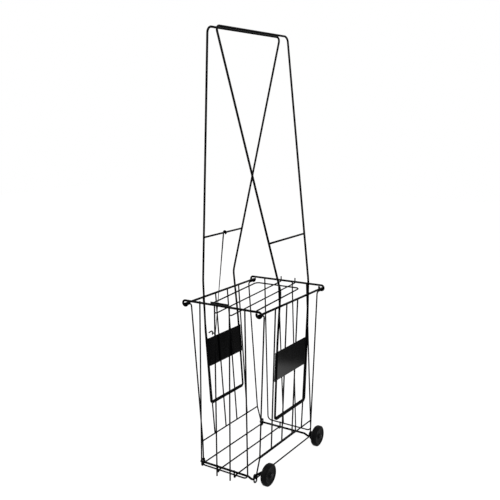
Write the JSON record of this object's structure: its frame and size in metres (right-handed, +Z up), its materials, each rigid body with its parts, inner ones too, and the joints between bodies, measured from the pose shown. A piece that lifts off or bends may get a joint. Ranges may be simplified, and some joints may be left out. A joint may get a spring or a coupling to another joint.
{
  "type": "tennis ball hopper",
  "caption": "Wire basket for picking up and serving tennis balls, on two wheels, with a hooked lid and two long handle loops that swing down as legs.",
  "frame": {"origin": "on the floor, at the bottom centre of the bounding box", "axes": "+X from the basket towards the wheels, +Y from the basket's front end to its rear end, +Z up, with the basket leaning 1.7 degrees from its wheels down onto its two left eyes"},
  "size_m": [0.305, 0.3574, 1.2023],
  "materials": {
    "black_painted_wire": "glossy black powder coat on steel wire",
    "black_painted_sheet": "glossy black powder coat on sheet steel",
    "black_wheel_plastic": "moulded black plastic, satin to glossy",
    "blackened_cap_steel": "blackened pressed steel"
  },
  "bodies": {
    "basket": {"rim_bar_left": "black_painted_wire", "rim_bar_right": "black_painted_wire", "rim_bar_front": "black_painted_wire", "rim_bar_rear": "black_painted_wire", "side_grid_left": "black_painted_wire", "side_grid_right": "black_painted_wire", "end_grid_front": "black_painted_wire", "end_grid_rear": "black_painted_wire", "base_bar_front": "black_painted_wire", "base_bar_rear": "black_painted_wire", "base_wire_left": "black_painted_wire", "base_wire_right": "black_painted_wire", "hinge_tube_left": "black_painted_wire", "hinge_tube_right": "black_painted_wire", "latch_plate_left": "black_painted_sheet", "latch_plate_right": "black_painted_sheet", "axle_cap_front": "blackened_cap_steel", "axle_cap_rear": "blackened_cap_steel"},
    "left_handle": {"handle_left": "black_painted_wire", "crossbar_left": "black_painted_wire"},
    "right_handle": {"handle_right": "black_painted_wire", "crossbar_right": "black_painted_wire"},
    "tie_rod": {"tie_rod": "black_painted_wire"},
    "lid": {"lid_wire_left": "black_painted_wire", "lid_wire_right": "black_painted_wire", "lid_frame": "black_painted_wire", "lid_strip": "black_painted_sheet"},
    "front_wheel": {"wheel_front": "black_wheel_plastic"},
    "rear_wheel": {"wheel_rear": "black_wheel_plastic"}
  },
  "joints": [
    {"name": "left_handle_hinge", "type": "hinge", "parent": "basket", "child": "left_handle", "pos_m": [-0.09558, 0.0003, 0.15955], "axis": [0, -1, 0], "range_deg": [0, 176]},
    {"name": "right_handle_hinge", "type": "hinge", "parent": "basket", "child": "right_handle", "pos_m": [0.12357, 0.0003, 0.1652], "axis": [0, 1, 0], "range_deg": [0, 176]},
    {"name": "tie_rod_hook", "type": "hinge", "parent": "left_handle", "child": "tie_rod", "pos_m": [-0.10561, 0.0003, 0.65045], "axis": [0, 1, 0], "range_deg": [0, 75]},
    {"name": "lid_hinge", "type": "hinge", "parent": "basket", "child": "lid", "pos_m": [0.00557, 0.1667, 0.48897], "axis": [-0.9997, 0, -0.0258], "range_deg": [0, 100]},
    {"name": "front_wheel_axle", "type": "hinge", "parent": "basket", "child": "front_wheel", "pos_m": [0.14232, -0.13669, 0.03104], "axis": [0.9997, 0, 0.0258], "continuous": true},
    {"name": "rear_wheel_axle", "type": "hinge", "parent": "basket", "child": "rear_wheel", "pos_m": [0.14232, 0.13731, 0.03104], "axis": [0.9997, 0, 0.0258], "continuous": true}
  ]
}
